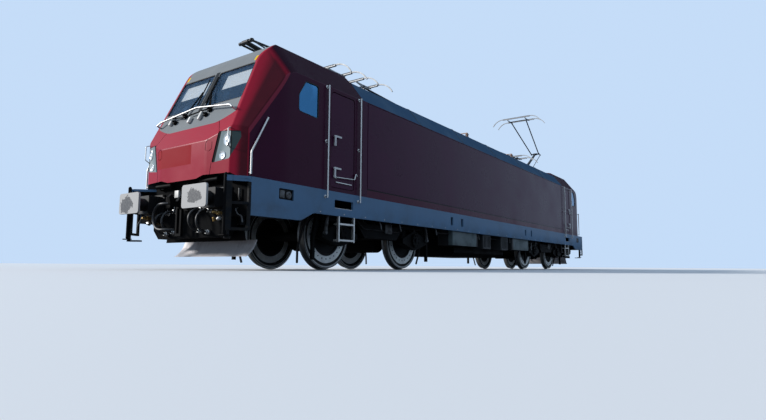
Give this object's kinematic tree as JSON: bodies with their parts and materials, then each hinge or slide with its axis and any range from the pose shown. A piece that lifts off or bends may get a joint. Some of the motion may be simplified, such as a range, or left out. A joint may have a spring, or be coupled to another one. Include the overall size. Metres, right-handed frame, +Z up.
{
  "type": "electric locomotive",
  "caption": "Electric locomotive with a cab at each end, swivelling bogies, hinged cab doors and folding current collectors on the roof, the rearmost raised.",
  "frame": {"origin": "on the floor under the wheel flanges, midway between the ends and the sides", "axes": "+X to the front cab, +Y to the left side, +Z up"},
  "size_m": [18.9, 3.115, 5.9788],
  "materials": {
    "cab_paint": "gloss",
    "side_paint": "gloss",
    "skirt_paint": "satin",
    "roof_paint": "satin",
    "windscreen_glass": "clear, tinted",
    "side_glass": "clear, tinted",
    "lamp_glass": "clear lens over a bright reflector",
    "desk_plastic": "grained",
    "seat_fabric": "woven",
    "blind_fabric": "plain",
    "black_paint": "semi-matt",
    "buffer_steel": "worn, greased",
    "plough_steel": "dusty",
    "rail_steel": "brushed",
    "rubber": "matt",
    "tank_paint": "satin, dusty",
    "box_paint": "satin, dusty",
    "wheel_steel": "rolled, dusty",
    "copper_bar": "weathered",
    "insulator": "glazed",
    "collector_frame": "satin",
    "collector_strip": "satin"
  },
  "bodies": {
    "root": {"underframe": "skirt_paint", "side_walls": "side_paint", "machine_roof": "roof_paint", "cab_front": "cab_paint", "cab_rear": "cab_paint", "windscreens": "windscreen_glass", "side_windows": "side_glass", "headlamps": "lamp_glass", "desks": "desk_plastic", "seats": "seat_fabric", "sun_blinds": "blind_fabric", "buffers": "buffer_steel", "draw_gear": "black_paint", "ploughs": "plough_steel", "corner_steps": "black_paint", "door_ladders": "rail_steel", "handrails": "rail_steel", "rail_brackets": "rail_steel", "corner_rails": "rail_steel", "screen_rails": "rail_steel", "wipers": "black_paint", "brake_hoses": "rubber", "transformer": "tank_paint", "underfloor_boxes": "box_paint", "bus_bars": "copper_bar", "roof_insulators": "insulator", "collector_bases": "collector_frame"},
    "bogie_front": {"bogie_frame_front": "black_paint", "axle_boxes_front": "black_paint", "main_springs_front": "black_paint", "motors_front": "tank_paint"},
    "wheelset_front_1": {"wheelset_front_1": "wheel_steel"},
    "wheelset_front_2": {"wheelset_front_2": "wheel_steel"},
    "bogie_rear": {"bogie_frame_rear": "black_paint", "axle_boxes_rear": "black_paint", "main_springs_rear": "black_paint", "motors_rear": "tank_paint"},
    "wheelset_rear_1": {"wheelset_rear_1": "wheel_steel"},
    "wheelset_rear_2": {"wheelset_rear_2": "wheel_steel"},
    "door_front_left": {"door_front_left": "side_paint"},
    "door_front_right": {"door_front_right": "side_paint"},
    "door_rear_left": {"door_rear_left": "side_paint"},
    "door_rear_right": {"door_rear_right": "side_paint"},
    "lower_arm_outer_front": {"lower_arm_outer_front": "collector_frame"},
    "upper_arm_outer_front": {"upper_arm_outer_front": "collector_frame"},
    "collector_head_outer_front": {"collector_head_outer_front": "collector_strip"},
    "coupling_rod_outer_front": {"coupling_rod_outer_front": "collector_frame"},
    "lower_arm_inner_front": {"lower_arm_inner_front": "collector_frame"},
    "upper_arm_inner_front": {"upper_arm_inner_front": "collector_frame"},
    "collector_head_inner_front": {"collector_head_inner_front": "collector_strip"},
    "coupling_rod_inner_front": {"coupling_rod_inner_front": "collector_frame"},
    "lower_arm_inner_rear": {"lower_arm_inner_rear": "collector_frame"},
    "upper_arm_inner_rear": {"upper_arm_inner_rear": "collector_frame"},
    "collector_head_inner_rear": {"collector_head_inner_rear": "collector_strip"},
    "coupling_rod_inner_rear": {"coupling_rod_inner_rear": "collector_frame"},
    "lower_arm_outer_rear": {"lower_arm_outer_rear": "collector_frame"},
    "upper_arm_outer_rear": {"upper_arm_outer_rear": "collector_frame"},
    "collector_head_outer_rear": {"collector_head_outer_rear": "collector_strip"},
    "coupling_rod_outer_rear": {"coupling_rod_outer_rear": "collector_frame"}
  },
  "joints": [
    {"name": "bogie_front_yaw", "type": "hinge", "parent": "root", "child": "bogie_front", "pos_m": [5.22, 0, 0.8], "axis": [0, 0, 1], "range_deg": [-3, 3]},
    {"name": "wheelset_front_1_turn", "type": "hinge", "parent": "bogie_front", "child": "wheelset_front_1", "pos_m": [6.52, 0, 0.653], "axis": [0, 1, 0], "continuous": true},
    {"name": "wheelset_front_2_turn", "type": "hinge", "parent": "bogie_front", "child": "wheelset_front_2", "pos_m": [3.92, 0, 0.653], "axis": [0, 1, 0], "continuous": true},
    {"name": "bogie_rear_yaw", "type": "hinge", "parent": "root", "child": "bogie_rear", "pos_m": [-5.22, 0, 0.8], "axis": [0, 0, 1], "range_deg": [-3, 3]},
    {"name": "wheelset_rear_1_turn", "type": "hinge", "parent": "bogie_rear", "child": "wheelset_rear_1", "pos_m": [-3.92, 0, 0.653], "axis": [0, 1, 0], "continuous": true},
    {"name": "wheelset_rear_2_turn", "type": "hinge", "parent": "bogie_rear", "child": "wheelset_rear_2", "pos_m": [-6.52, 0, 0.653], "axis": [0, 1, 0], "continuous": true},
    {"name": "door_front_left_swing", "type": "hinge", "parent": "root", "child": "door_front_left", "pos_m": [6.58, 1.3945, 2.288], "axis": [0, 0, -1], "range_deg": [0, 85]},
    {"name": "door_front_right_swing", "type": "hinge", "parent": "root", "child": "door_front_right", "pos_m": [6.58, -1.3945, 2.288], "axis": [0, 0, 1], "range_deg": [0, 85]},
    {"name": "door_rear_left_swing", "type": "hinge", "parent": "root", "child": "door_rear_left", "pos_m": [-6.58, 1.3945, 2.288], "axis": [0, 0, 1], "range_deg": [0, 85]},
    {"name": "door_rear_right_swing", "type": "hinge", "parent": "root", "child": "door_rear_right", "pos_m": [-6.58, -1.3945, 2.288], "axis": [0, 0, -1], "range_deg": [0, 85]},
    {"name": "lower_arm_outer_front_pivot", "type": "hinge", "parent": "root", "child": "lower_arm_outer_front", "pos_m": [6.3, 0, 3.978], "axis": [0, -1, 0], "range_deg": [0, 44]},
    {"name": "upper_arm_outer_front_pivot", "type": "hinge", "parent": "lower_arm_outer_front", "child": "upper_arm_outer_front", "pos_m": [7.91113, 0, 4.14734], "axis": [0, -1, 0], "range_deg": [-89.52, 0.2]},
    {"name": "collector_head_outer_front_pivot", "type": "hinge", "parent": "upper_arm_outer_front", "child": "collector_head_outer_front", "pos_m": [5.77112, 0, 4.14734], "axis": [0, -1, 0], "range_deg": [-0.2, 45.52]},
    {"name": "coupling_rod_outer_front_pivot", "type": "hinge", "parent": "root", "child": "coupling_rod_outer_front", "pos_m": [6.4, 0, 3.898], "axis": [0, -1, 0], "range_deg": [-0.2, 44.46]},
    {"name": "lower_arm_inner_front_pivot", "type": "hinge", "parent": "root", "child": "lower_arm_inner_front", "pos_m": [4.3, 0, 3.978], "axis": [0, 1, 0], "range_deg": [0, 44]},
    {"name": "upper_arm_inner_front_pivot", "type": "hinge", "parent": "lower_arm_inner_front", "child": "upper_arm_inner_front", "pos_m": [2.68887, 0, 4.14734], "axis": [0, 1, 0], "range_deg": [-89.52, 0.2]},
    {"name": "collector_head_inner_front_pivot", "type": "hinge", "parent": "upper_arm_inner_front", "child": "collector_head_inner_front", "pos_m": [4.82888, 0, 4.14734], "axis": [0, 1, 0], "range_deg": [-0.2, 45.52]},
    {"name": "coupling_rod_inner_front_pivot", "type": "hinge", "parent": "root", "child": "coupling_rod_inner_front", "pos_m": [4.2, 0, 3.898], "axis": [0, 1, 0], "range_deg": [-0.2, 44.46]},
    {"name": "lower_arm_inner_rear_pivot", "type": "hinge", "parent": "root", "child": "lower_arm_inner_rear", "pos_m": [-4.3, 0, 3.978], "axis": [0, -1, 0], "range_deg": [0, 44]},
    {"name": "upper_arm_inner_rear_pivot", "type": "hinge", "parent": "lower_arm_inner_rear", "child": "upper_arm_inner_rear", "pos_m": [-2.68887, 0, 4.14734], "axis": [0, -1, 0], "range_deg": [-89.52, 0.2]},
    {"name": "collector_head_inner_rear_pivot", "type": "hinge", "parent": "upper_arm_inner_rear", "child": "collector_head_inner_rear", "pos_m": [-4.82888, 0, 4.14734], "axis": [0, -1, 0], "range_deg": [-0.2, 45.52]},
    {"name": "coupling_rod_inner_rear_pivot", "type": "hinge", "parent": "root", "child": "coupling_rod_inner_rear", "pos_m": [-4.2, 0, 3.898], "axis": [0, -1, 0], "range_deg": [-0.2, 44.46]},
    {"name": "lower_arm_outer_rear_pivot", "type": "hinge", "parent": "root", "child": "lower_arm_outer_rear", "pos_m": [-6.3, 0, 3.978], "axis": [0, 1, 0], "range_deg": [-27.7, 16.3]},
    {"name": "upper_arm_outer_rear_pivot", "type": "hinge", "parent": "lower_arm_outer_rear", "child": "upper_arm_outer_rear", "pos_m": [-7.64777, 0, 4.87685], "axis": [0, 1, 0], "range_deg": [-33.29, 56.43]},
    {"name": "collector_head_outer_rear_pivot", "type": "hinge", "parent": "upper_arm_outer_rear", "child": "collector_head_outer_rear", "pos_m": [-5.76765, 0, 5.89898], "axis": [0, 1, 0], "range_deg": [-28.73, 16.99]},
    {"name": "coupling_rod_outer_rear_pivot", "type": "hinge", "parent": "root", "child": "coupling_rod_outer_rear", "pos_m": [-6.4, 0, 3.898], "axis": [0, 1, 0], "range_deg": [-28.07, 16.6]}
  ],
  "couplings": [
    {"joint": "upper_arm_outer_front_pivot", "follows": "lower_arm_outer_front_pivot", "ratio": -2.03},
    {"joint": "collector_head_outer_front_pivot", "follows": "lower_arm_outer_front_pivot", "ratio": 1.03},
    {"joint": "coupling_rod_outer_front_pivot", "follows": "lower_arm_outer_front_pivot", "ratio": 1.006},
    {"joint": "upper_arm_inner_front_pivot", "follows": "lower_arm_inner_front_pivot", "ratio": -2.03},
    {"joint": "collector_head_inner_front_pivot", "follows": "lower_arm_inner_front_pivot", "ratio": 1.03},
    {"joint": "coupling_rod_inner_front_pivot", "follows": "lower_arm_inner_front_pivot", "ratio": 1.006},
    {"joint": "upper_arm_inner_rear_pivot", "follows": "lower_arm_inner_rear_pivot", "ratio": -2.03},
    {"joint": "collector_head_inner_rear_pivot", "follows": "lower_arm_inner_rear_pivot", "ratio": 1.03},
    {"joint": "coupling_rod_inner_rear_pivot", "follows": "lower_arm_inner_rear_pivot", "ratio": 1.006},
    {"joint": "upper_arm_outer_rear_pivot", "follows": "lower_arm_outer_rear_pivot", "ratio": -2.03},
    {"joint": "collector_head_outer_rear_pivot", "follows": "lower_arm_outer_rear_pivot", "ratio": 1.03},
    {"joint": "coupling_rod_outer_rear_pivot", "follows": "lower_arm_outer_rear_pivot", "ratio": 1.006}
  ]
}
